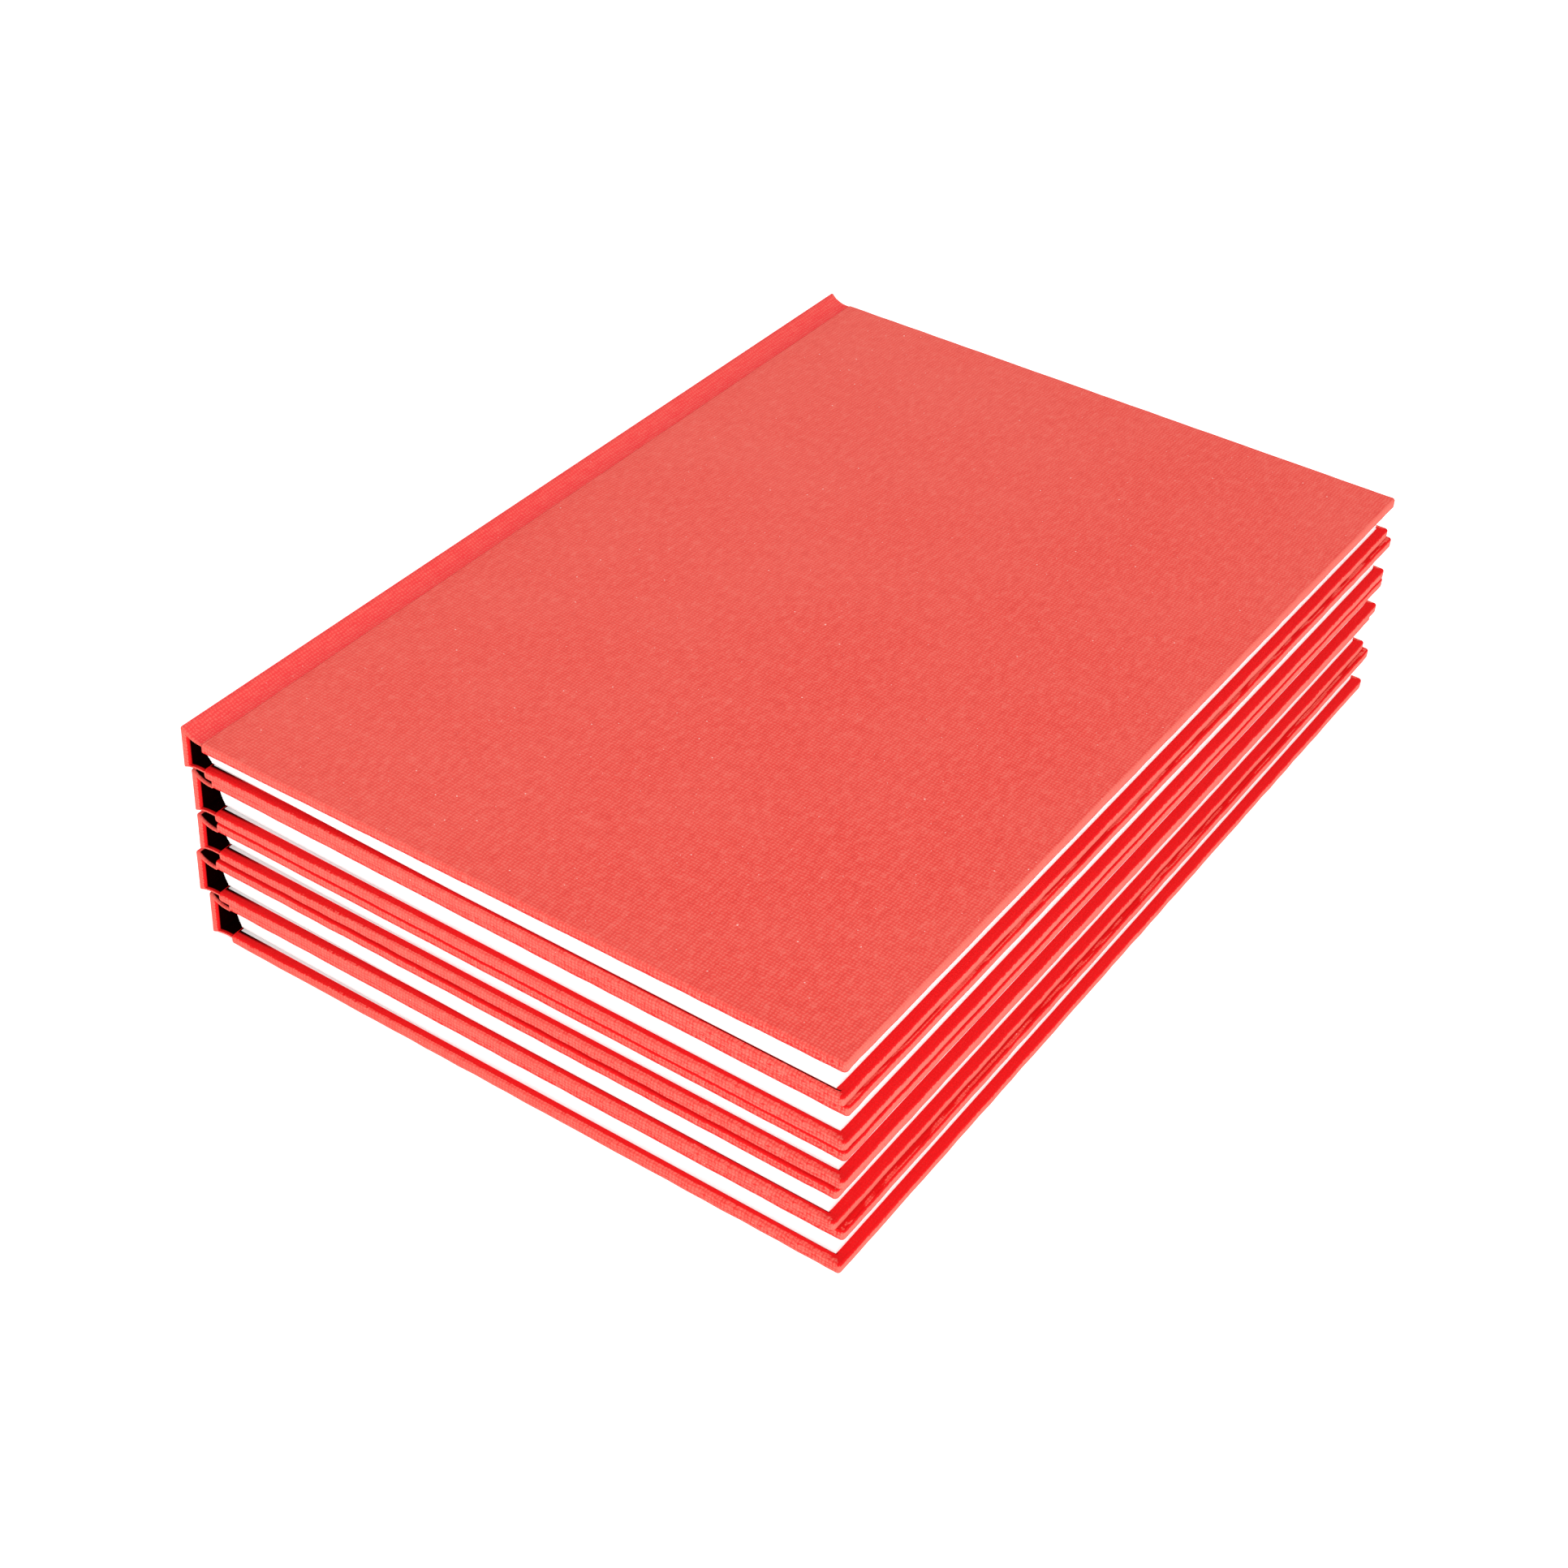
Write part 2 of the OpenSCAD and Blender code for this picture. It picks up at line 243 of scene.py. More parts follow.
def bookcloth():
    f = Finish("coral_bookcloth", 0.86)
    uv = f.nodes.new("ShaderNodeUVMap")
    uv.uv_map = "weave"
    place = uv.outputs[0]
    tone = f.nodes.new("ShaderNodeAttribute")
    tone.attribute_name = "tone"
    inner, rim, spine = f.apart(tone.outputs["Vector"])[:3]
    shade = f.nodes.new("ShaderNodeAttribute")
    shade.attribute_name = "shade"
    # A plain weave: warp and weft pass over each other in turn
    wander = f.math("MULTIPLY", f.math("SUBTRACT", f.noise(place, 600.0, 2.0), 0.5), 1.25)
    u, v = f.apart(place)[:2]
    across = f.math("ADD", f.math("DIVIDE", u, THREAD_ACROSS), wander)
    along = f.math("SUBTRACT", f.math("DIVIDE", v, THREAD_ALONG), wander)
    wave_u = f.math("SINE", f.math("MULTIPLY", across, math.pi))
    wave_v = f.math("SINE", f.math("MULTIPLY", along, math.pi))
    over = f.math("MULTIPLY_ADD", f.math("MULTIPLY", wave_u, wave_v), 0.7, 0.5, clamp=True)
    warp = f.math("MULTIPLY", f.math("ABSOLUTE", wave_u), over)
    weft = f.math("MULTIPLY", f.math("ABSOLUTE", wave_v), f.math("SUBTRACT", 1.0, over))
    threads = f.math("MAXIMUM", warp, weft)
    fibres = f.noise(place, 5200.0, 2.0, 0.6)
    slubs = f.noise(f.stretched(place, (900.0, 260.0, 1.0)), 1.0, 2.0, 0.6)
    uneven = f.noise(place, 38.0, 3.0, 0.6)
    height = f.math("MULTIPLY_ADD", fibres, 0.4, threads)
    height = f.math("MULTIPLY_ADD", slubs, 0.55, height)
    # Partly the weave's own pattern and partly painted light: knuckles painted paler as a painted highlight,
    # gaps darker as painted shade
    knuckle = f.ramp(height, 1.0, 1.45)
    gap = f.ramp(height, 0.86, 0.50)
    body = f.mix(f.math("MULTIPLY", knuckle, 0.42), CORAL, CORAL_LIGHT)
    body = f.mix(f.math("MULTIPLY", gap, 0.62), body, CORAL_DARK)
    mottle = f.noise(f.stretched(place, (700.0, 380.0, 1.0)), 1.0, 3.0, 0.65)
    body = f.mix(f.ramp(mottle, 0.50, 0.30, 0.0, 0.35), body, CORAL_DARK)
    body = f.mix(f.ramp(mottle, 0.50, 0.72, 0.0, 0.30), body, CORAL_LIGHT)
    # The cloth is a little paler towards the spine and the head
    pale = f.math("ADD", f.ramp(u, 0.02, 0.135, 0.0, 0.13), f.ramp(v, 0.03, 0.22, 0.0, 0.10))
    body = f.mix(f.math("ADD", pale, f.ramp(uneven, 0.35, 0.72, 0.0, 0.08)), body, CORAL_LIGHT)
    speck = f.ramp(f.noise(place, 1500.0, 0.0), 0.855, 0.875, 0.0, 0.6)
    body = f.mix(speck, body, (1.0, 0.72, 0.66))
    spine_body = f.mix(f.math("MULTIPLY", knuckle, 0.30), CORAL_SPINE, CORAL_LIGHT)
    body = f.mix(f.math("MULTIPLY", spine, f.ramp(slubs, 0.2, 0.8, 1.0, 0.7)), body, spine_body)
    # Painted highlight: threads catch the light on a folded edge, so it is painted paler, and its border is
    # as uneven as they are
    fray = f.math("SUBTRACT", f.noise(place, 1100.0, 2.0, 0.6), 0.5)
    ragged = f.math("MULTIPLY_ADD", f.math("SUBTRACT", height, 0.95), 0.25, rim)
    ragged = f.math("MULTIPLY_ADD", fray, 0.9, ragged)
    body = f.mix(f.ramp(ragged, 0.10, 1.05, 0.0, 0.9), body, CORAL_EDGE_HIGHLIGHT)
    # Painted shade: the turned-in cloth and the edges pressed between notebooks are painted the saturated red
    # of shaded cloth
    ragged = f.math("MULTIPLY_ADD", f.math("SUBTRACT", 0.95, height), 0.2, inner)
    ragged = f.math("MULTIPLY_ADD", fray, 0.8, ragged)
    inner_shade_body = f.mix(f.math("MULTIPLY", gap, 0.35), CORAL_INNER_SHADE, CORAL_DARK)
    body = f.mix(f.ramp(ragged, 0.30, 0.70), body, inner_shade_body)
    # Painted shade: where the shade attribute is high the cloth is painted near black, with no specular
    deep = f.ramp(shade.outputs["Fac"], 0.2, 0.9)
    f.paint(f.mix(deep, body, CORAL_SHADE))
    f.put(f.shader.inputs["Specular IOR Level"], f.math("MULTIPLY_ADD", deep, -0.15, 0.15))
    f.bump(height, 0.00009, 0.4)
    return f.material


def paper(name, colour, grain=0.00001):
    f = Finish(name, 0.7)
    place = f.place("Object")
    pulp = f.noise(place, 1800.0, 3.0, 0.6)
    cloud = f.noise(place, 60.0, 2.0)
    shade = tuple(c * 0.965 for c in colour)
    f.paint(f.mix(f.math("MULTIPLY", pulp, f.ramp(cloud, 0.3, 0.7, 0.4, 0.9)), colour, shade))
    f.bump(pulp, grain, 0.4)
    return f.material


def leaf_edges():
    """The trimmed sides of the leaves: fine level lines over plain paper."""
    f = Finish("leaf_edges", 0.75)
    place = f.place("Object")
    lines = f.noise(f.stretched(place, (60.0, 60.0, 9000.0)), 1.0, 2.0, 0.6)
    pulp = f.noise(place, 2200.0, 2.0)
    f.paint(f.mix(f.ramp(lines, 0.35, 0.7), (0.90, 0.90, 0.89), (0.97, 0.97, 0.965)))
    f.bump(f.math("MULTIPLY_ADD", pulp, 0.3, lines), 0.00002, 0.5)
    return f.material


def greyboard():
    f = Finish("greyboard", 0.9)
    place = f.place("Object")
    pulp = f.noise(place, 1500.0, 4.0, 0.65)
    layers = f.noise(f.stretched(place, (40.0, 40.0, 5000.0)), 1.0, 2.0)
    f.paint(f.mix(f.math("MULTIPLY", pulp, layers), (0.40, 0.385, 0.36), (0.27, 0.26, 0.24)))
    f.bump(pulp, 0.00004, 0.6)
    return f.material


def spine_gauze():
    f = Finish("spine_lining", 0.85)
    place = f.place("Object")
    y, z = f.apart(place)[1:3]
    mesh = f.math("MAXIMUM",
                  f.math("SINE", f.math("MULTIPLY", y, 2 * math.pi / 0.0012)),
                  f.math("SINE", f.math("MULTIPLY", z, 2 * math.pi / 0.0012)))
    f.paint(f.mix(f.ramp(mesh, 0.1, 0.9), (0.55, 0.50, 0.42), (0.80, 0.76, 0.68)))
    f.bump(mesh, 0.00005, 0.5)
    return f.material


CLOTH = bookcloth()
PAPER = paper("endpaper", (0.94, 0.94, 0.93))
LEAVES = leaf_edges()
BOARD = greyboard()
LINING = spine_gauze()


# The case cloth: one sheet over the covers, the joints and the spine, turned in all round

# How far in from the folded edge the rows of the turned-in cloth lie
TURN_ROWS = (0.6, 0.8, 1.0, 1.2, 1.3, 1.45, 1.65, 1.85, 2.0, 2.15, 2.6, 3.3, 5.0, 9.0, turn_in)
ARC_STEPS = 5
CORNER_STEPS = 6
# Share of the size of the slow wander of an edge, in millimetres
RIPPLE_H = 0.03
# Height and half width of the ridge where two turn-ins meet at a corner
MITRE_H = 0.12
MITRE_W = 0.7


def spread(start, end, step):
    """Evenly spaced values from start to end, about a step apart."""
    return list(np.linspace(start, end, max(2, int(round(abs(end - start) / step)) + 1)))


def covered_board(section, valley_h, name):
    """Stations over one cover, from the corner arcs at its fore-edge to the crease at its joint.
    Each is (outer point, inner point, place along the cover, name)."""
    stations = []
    near_corner = [cover_end - corner_r - a for a in (0, 0.5, 1.2, 2.2, 3.7, 5.7, 8.2)]
    for x in near_corner + spread(cover_end - corner_r - 12, edge_r - cloth_t, 4.0):
        stations.append((section(x, cover_t), section(x, 0), x, name))
    for i in range(1, ARC_STEPS + 1):
        a = math.radians(90 * i / ARC_STEPS)
        h = cover_t - edge_r + edge_r * math.cos(a)
        if h > valley_h + 0.02:
            x = edge_r - cloth_t - edge_r * math.sin(a)
            stations.append((section(x, h), section(max(x, 0.0), 0), x, name))
    return stations


def joint_z(edge, valley, x):
    return valley + (edge - valley) * max(0.0, 1 - x / valley_x) ** 2


JOINT_XS = (4.9, 4.65, valley_x, 4.0, 3.5, 3.0, 2.5, 2.1, spine_back, 1.2, 0.7, 0.4)


def joint_stations(edge, valley, side, name):
    """Stations over a joint, from its crease at the board to the edge of the spine."""
    stations = []
    for x in JOINT_XS:
        z = joint_z(edge, valley, x)
        at = max(x, spine_back)
        slope = 2 * (edge - valley) / valley_x * max(0.0, 1 - at / valley_x)
        deep = joint_z(edge, valley, at) - side * double_t * math.sqrt(1 + slope * slope)
        stations.append(((x, z), (at, deep), None, name))
    return stations


def case_section(k):
    """Stations round the whole case of a notebook, from the front cover to the back cover."""
    front, height = front_cover(k), thickness(k)
    rise, low = height - spine_inset, spine_inset
    f_valley = front_valley(k)
    stations = covered_board(front, f_valley - front_in(k), "front")
    crease = (front(-cloth_t, 0)[0], f_valley)
    if k == top:
        stations.append((crease, front(-cloth_t, 0), None, "front"))
        stations.append((crease, (crease[0], f_valley - double_t), None, "front"))
    stations.append((crease, (crease[0], f_valley - double_t), None, "joint"))
    front_joint = joint_stations(rise, f_valley, 1, "joint")
    back_joint = joint_stations(low, back_valley, -1, "spine")[::-1]
    stations += front_joint
    inner_top, inner_low = front_joint[-1][1], back_joint[0][1]
    soft = 0.3
    edge = [front_joint[-1][0], (0.18, rise - 0.10), (0.05, rise - 0.22), (0.0, rise - 0.42)]
    stations += [(p, inner_top, None, "spine") for p in edge]
    for z in spread(rise - 0.42 - soft, low + 0.42 + soft, 1.0):
        stations.append(((0.0, z), (spine_back, min(max(z, inner_low[1]), inner_top[1])), None, "spine"))
    edge = [(0.0, low + 0.42), (0.05, low + 0.22), (0.18, low + 0.10)]
    stations += [(p, inner_low, None, "spine") for p in edge]
    stations += back_joint
    crease = (board_x - cloth_t, back_valley)
    stations.append((crease, (crease[0], back_valley + double_t), None, "spine"))
    back = covered_board(back_cover, cover_t - back_valley, "back")[::-1]
    return stations + back


class Skin:
    """Collects the faces of one sheet, with the cloth's own coordinates and its tone."""

    def __init__(self):
        self.points, self.faces, self.uvs, self.tones = [], [], [], []

    def grid(self, rows, uvs, tones, closed=False):
        """Faces between neighbouring rows of points. Each row, uv row and tone row has one length."""
        start, n = len(self.points), len(rows[0])
        for row, tone in zip(rows, tones):
            self.points += list(row)
            self.tones += list(tone)
        count = len(rows) if closed else len(rows) - 1
        for i in range(count):
            a, b = start + i * n, start + ((i + 1) % len(rows)) * n
            for j in range(n - 1):
                self.faces.append((a + j, a + j + 1, b + j + 1, b + j))
                one, other = uvs[i], uvs[(i + 1) % len(rows)]
                self.uvs += [one[j], one[j + 1], other[j + 1], other[j]]

    def fan(self, centre, centre_uv, ring, uvs, tone):
        start = len(self.points)
        self.points += [centre, *ring]
        self.tones += [tone] * (len(ring) + 1)
        for i in range(len(ring) - 1):
            self.faces.append((start, start + 1 + i, start + 2 + i))
            self.uvs += [centre_uv, uvs[i], uvs[i + 1]]


def edge_profile(t, r):
    """(depth, inset, tone place) round a folded edge of thickness t: 0 outside, 1 at the fold, 2 inside."""
    rows = []
    for i in range(ARC_STEPS + 1):
        a = math.radians(90 * i / ARC_STEPS)
        rows.append((r - r * math.cos(a), r - r * math.sin(a), i / ARC_STEPS))
    rows.append((t / 2, 0.0, 1.0))
    for i in range(ARC_STEPS + 1):
        a = math.radians(90 * i / ARC_STEPS)
        rows.append((t - r + r * math.sin(a), r - r * math.cos(a), 1 + i / ARC_STEPS))
    return rows


def ripple(s, seed):
    """A slow, small wander along an edge, in millimetres."""
    slow = math.sin(0.31 * s + seed) + math.sin(0.83 * s + 2.1 * seed)
    quick = math.sin(2.3 * s + seed * seed)
    return RIPPLE_H * (slow + 0.6 * quick)


# How deep the painted shade, the saturated red of shaded cloth, shows at an edge that is pressed on the next
# notebook
PRESSED_SHADE_W = 0.75
# How far along a cover the painted shade of the spine's hollow reaches under the pages
HOLLOW_SHADE_REACH = 12.0
# Share of painted highlight, paler coral where the light falls, on the folded edges at the fore-edge, and at
# the head and the tail away from the spine
FORE_EDGE_HIGHLIGHT = 0.88
END_EDGE_HIGHLIGHT = 0.04
# Distance from the spine over which the head and tail edges lose their extra painted highlight
EDGE_HIGHLIGHT_REACH = 90.0
# Greatest share of the painted shade red that is mixed into the edges at the head and the tail
END_INNER_SHADE = 0.42


def part_way(value, start, width):
    """How far a value has got from start over a width, from 0 to 1."""
    return min(1.0, max(0.0, (value - start) / width))


def edge_tone(share, depth, inset, place, part, pressed):
    """Shares of the painted shade at a point of a folded edge: the saturated red of shaded cloth, and the
    near black of deep shade.
    """
    inner = max(0.0, (share - 0.62) / 0.38)
    dark = 0.0
    if pressed:
        inner = max(inner, 1 - depth / PRESSED_SHADE_W)
        # Painted shade: a thin dark line where the covers touch
        dark = 0.4 * max(0.0, 1 - depth / 0.10)
    # Painted shade: inside the spine's hollow the cloth turns near black
    if part in ("joint", "spine") and place >= 2:
        dark = part_way(inset, 0.45, 0.3)
    return inner, dark


def back_border_tone(share, inset, place, along, foot, near_spine):
    """The same painted shade at the head and the tail of a back cover, where the red starts later towards the
    fore-edge.
    """
    way_in = inset if place >= 2 else edge_r * max(0.0, (share - 0.55) / 0.45)
    inner = part_way(way_in, 0.05 + 0.95 * along, 0.35)
    dark = part_way(inset, 0.9, 0.8) * near_spine
    # Painted shadow: a thin dark line at the foot of the pages
    if foot - 0.12 < inset < foot + 0.1:
        dark = max(dark, 0.9 * along)
    return inner, dark


def cloth_piece(name, k, stations, parts, closed):
    """Makes the cloth over the named parts of the case."""
    skin = Skin()
    picked = [s for s in stations if s[3] in parts]
    lengths = [0.0]
    for a, b in zip(stations, stations[1:]):
        lengths.append(lengths[-1] + math.dist(a[0], b[0]))
    first = next(i for i, s in enumerate(stations) if s[3] in parts)
    along = [MM * (lengths[first + i] + corner_r) for i in range(len(picked))]
    near = [corner_r, 1.3, 2.0, 3.0, 4.5, 6.5, 9.0]
    ys = near + spread(12.0, cover_l - 12.0, 4.0) + [cover_l - y for y in reversed(near)]
    radii = [min(edge_r, math.dist(o, q) / 2) for o, q, _, _ in picked]

    def spine_tone(station):
        (x, z), part = station[0], station[3]
        if part in ("front", "back"):
            return 0.0
        return 1.0 if x < 0.3 else 0.62 + 0.3 * (x / board_x)

    rows, uvs, tones = [], [], []
    for (o, q, x, part), r, u in zip(picked, radii, along):
        line = [r, *ys, cover_l - r]
        rows.append([(o[0], y, o[1]) for y in line])
        uvs.append([(u, y * MM) for y in line])
        hidden = part != "front" if k < top else part in ("spine", "back")
        # Painted shade: the joints and spine hidden between notebooks are painted near black
        hollow_shade = 1.0 if hidden and part in ("joint", "spine") and 0.5 < o[0] < board_x + 0.2 else 0.0
        # Painted shade: covers pressed on the next notebook get the saturated red of shaded cloth at their
        # edges
        pressed_shade = 1.0 if (part == "front" and k < top) or (part == "back" and k > 1) else 0.0
        middle = (pressed_shade, 0.0, spine_tone((o, q, x, part)), hollow_shade)
        tones.append([(*middle[:3], 0.0)] + [middle] * (len(line) - 2) + [(*middle[:3], 0.0)])
    skin.grid(rows, uvs, tones)

    def cover_point(section, x, y, h):
        at = section(x, h)
        return at[0], y, at[1]

    def rim_station(o, q, y, out_uv, uv0, rim, plan=None, part="joint", narrow=False):
        """One cross-section of the folded edge, from the outer face to the end of the turn-in."""
        t = math.dist(o, q)
        r = min(edge_r, t / 2)
        down = ((q[0] - o[0]) / t, (q[1] - o[1]) / t)
        inward = 1 if y < cover_l / 2 else -1
        y0 = 0.0 if y < cover_l / 2 else cover_l
        row, uv, tone, run, last = [], [], [], 0.0, None
        profile = edge_profile(t, r) + [(t, w, 2.0) for w in TURN_ROWS if w > r]
        profile += [(t, turn_in, 2.0)] * (2 * ARC_STEPS + 3 + len(TURN_ROWS) - len(profile))
        shake = ripple(uv0[0] / MM + uv0[1] / MM, k + inward)
        for depth, inset, place in profile:
            if plan is not None:
                p = plan(depth, inset)
            else:
                p = (o[0] + down[0] * depth, y0 + inward * (inset + shake * (1 - abs(place - 1)) / 2),
                     o[1] + down[1] * depth)
            if last is not None:
                run += math.dist(last, p)
            last = p
            row.append(p)
            uv.append((uv0[0] + out_uv[0] * run * MM, uv0[1] + out_uv[1] * run * MM))
            fold = 1 - abs(place - 1)
            pressed = (part == "front" and k < top) or (part == "back" and k > 1)
            inner, dark = edge_tone(depth / t, depth, inset, place, part, pressed)
            share = min(1.0, max(0.0, (o[0] - page_x) / board_w))
            if part == "back" and plan is not None and narrow:
                foot = square_w + inward * page_slide[k - 1]
                # Painted shade of the spine's hollow, fading away from the spine
                near_spine = max(0.0, 1 - (o[0] - page_x) / HOLLOW_SHADE_REACH) ** 0.5
                inner, border_shade = back_border_tone(depth / t, inset, place, share, foot, near_spine)
                dark = border_shade if place >= 2 else dark
                if pressed:
                    inner = max(inner, 1 - depth / PRESSED_SHADE_W)
            # Painted shade: the head and tail edges take more of the shaded red towards the fore-edge
            if narrow:
                inner = max(inner, END_INNER_SHADE * share ** 0.6 * min(1.0, place))
            tone.append((inner, rim * (1.0 if 0 < depth < t else fold), 0.0, dark))
        return row, uv, tone

    def cover_plan(section, a, y, cx, cy, side_w):
        """Plan of an edge station of a cover: a point of the outline and the way inwards."""
        def at(depth, inset):
            h = cover_t - depth
            px, py = a + cx * inset, y + cy * inset
            if depth > cover_t - 0.01 and inset > edge_r:
                px = min(px, cover_end - inset)
                py = min(max(py, inset), cover_l - inset)
                if cx and cy:
                    px = cover_end - inset if inset >= corner_r else px
                    py = (inset if y < cover_l / 2 else cover_l - inset) if inset >= corner_r else py
            if depth > cover_t - 0.01:
                beside = abs((cover_end - px) - min(py, cover_l - py))
                h -= MITRE_H * max(0.0, 1 - beside / MITRE_W)
            shake = ripple(a + y, k + side_w) * (1 if 0 < depth < cover_t else 0)
            return cover_point(section, px + cx * shake, py + cy * shake, h)
        return at

    def edge_run(indices, head):
        rows = []
        for i in indices:
            o, q, x, part = picked[i]
            y = cover_l if head else 0.0
            inward = -1 if head else 1
            plan = None
            if x is not None and x <= cover_end - corner_r + 1e-6 and o[1] == section_of[part](x, cover_t)[1]:
                plan = cover_plan(section_of[part], x, y, 0.0, inward, part == "front")
            border = cover_l - radii[i] if head else radii[i]
            uv0 = (along[i], border * MM)
            # Painted highlight: the head and tail edges are painted paler near the spine
            rim = END_EDGE_HIGHLIGHT + 0.34 * max(0.0, 1 - o[0] / EDGE_HIGHLIGHT_REACH)
            rows.append(rim_station(o, q, y, (0, -inward), uv0, rim, plan, part, True))
        return rows

    def corner_run(section, part, head, forward):
        """Stations round a corner, and the fan of its outer face."""
        cx = cover_end - corner_r
        cy = cover_l - corner_r if head else corner_r
        u = along[0] if part == "front" else along[-1]
        way = -1 if part == "front" else 1
        rows, ring, ring_uv = [], [], []
        steps = range(CORNER_STEPS + 1)
        for i in steps if forward else reversed(steps):
            a = math.radians(90 * i / CORNER_STEPS)
            dx, dy = math.sin(a), -math.cos(a) * (-1 if head else 1)
            plan = cover_plan(section, cx + corner_r * dx, cy + corner_r * dy, -dx, -dy, part == "front")
            o, q = section(cx, cover_t), section(cx, 0)
            inner_r = corner_r - edge_r
            uv0 = (u + way * dx * inner_r * MM, (cy + dy * inner_r) * MM)
            rim = END_EDGE_HIGHLIGHT + (FORE_EDGE_HIGHLIGHT - END_EDGE_HIGHLIGHT) * math.sin(a)
            rows.append(rim_station(o, q, cy, (way * dx, dy), uv0, rim, plan, part))
            ring.append(rows[-1][0][0])
            ring_uv.append(uv0)
        skin.fan(cover_point(section, cx, cy, cover_t), (u, cy * MM), ring, ring_uv, (0, 0, 0, 0))
        return rows

    def fore_run(section, part, forward):
        u = along[0] if part == "front" else along[-1]
        way = -1 if part == "front" else 1
        inner_r = corner_r - edge_r
        line, rows = ys, []
        for y in line if forward else line[::-1]:
            plan = cover_plan(section, cover_end, y, -1.0, 0.0, part == "front")
            o, q = section(cover_end, cover_t), section(cover_end, 0)
            uv0 = (u + way * inner_r * MM, y * MM)
            rows.append(rim_station(o, q, y, (way, 0), uv0, FORE_EDGE_HIGHLIGHT, plan, part))
        strip = [cover_point(section, cover_end - corner_r, y, cover_t) for y in line]
        edge = [cover_point(section, cover_end - edge_r, y, cover_t) for y in line]
        flat_uv = [(u, y * MM) for y in line]
        edge_uv = [(u + way * inner_r * MM, y * MM) for y in line]
        skin.grid([strip, edge], [flat_uv, edge_uv], [[(0, 0, 0, 0)] * len(line)] * 2)
        return rows

    section_of = {"front": front_cover(k), "back": back_cover}
    n = len(picked)
    tail, head = list(range(n)), list(range(n - 1, -1, -1))
    has_front, has_back = "front" in parts, "back" in parts
    run = edge_run(tail, False)
    if has_back:
        run += corner_run(back_cover, "back", False, True)[1:-1]
        run += fore_run(back_cover, "back", True)
        run += corner_run(back_cover, "back", True, False)[1:-1]
    else:
        band = run
        skin.grid([b[0] for b in band], [b[1] for b in band], [b[2] for b in band])
        run = []
    run += edge_run(head, True)
    if has_front:
        run += corner_run(section_of["front"], "front", True, True)[1:-1]
        run += fore_run(section_of["front"], "front", False)
        run += corner_run(section_of["front"], "front", False, False)[1:-1]
        if not has_back:
            run += edge_run(tail, False)
    skin.grid([b[0] for b in run], [b[1] for b in run], [b[2] for b in run], closed)
    return make_cloth(name, k, skin)


def make_cloth(name, k, skin):
    """Turns the collected faces into a cloth with a thickness."""
    mesh = bpy.data.meshes.new(name)
    mesh.from_pydata([tuple(p) for p in to_row(k, skin.points)], [], skin.faces)
    uv = mesh.uv_layers.new(name="weave")
    uv.data.foreach_set("uv", np.array(skin.uvs, np.float32).ravel())
    tones = np.array(skin.tones, np.float32)
    tone = mesh.attributes.new("tone", "FLOAT_VECTOR", "POINT")
    tone.data.foreach_set("vector", tones[:, :3].ravel())
    shade = mesh.attributes.new("shade", "FLOAT", "POINT")
    shade.data.foreach_set("value", tones[:, 3].ravel())
    work = bmesh.new()
    work.from_mesh(mesh)
    bmesh.ops.remove_doubles(work, verts=work.verts, dist=0.000004)
    bmesh.ops.dissolve_degenerate(work, edges=work.edges, dist=0.000002)
    bmesh.ops.recalc_face_normals(work, faces=work.faces)
    work.to_mesh(mesh)
    work.free()
    mesh.materials.append(CLOTH)
    mesh.shade_smooth()
    piece = bpy.data.objects.new(name, mesh)
    bpy.context.scene.collection.objects.link(piece)
    level = [p for p in mesh.polygons if abs(p.normal.z) > 0.5]
    lowest = min(level, key=lambda p: p.center.z)
    highest = max(level, key=lambda p: p.center.z)
    has_underside = lowest.center.z < (base(k) + cloth_t) * MM
    outward = -lowest.normal.z if has_underside else highest.normal.z
    if outward < 0:
        mesh.flip_normals()
    wall = piece.modifiers.new("cloth thickness", "SOLIDIFY")
    wall.thickness = cloth_t * MM
    wall.offset = -1.0
    return piece


# The leaves

# Thickness of one leaf
LEAF_T = 0.115


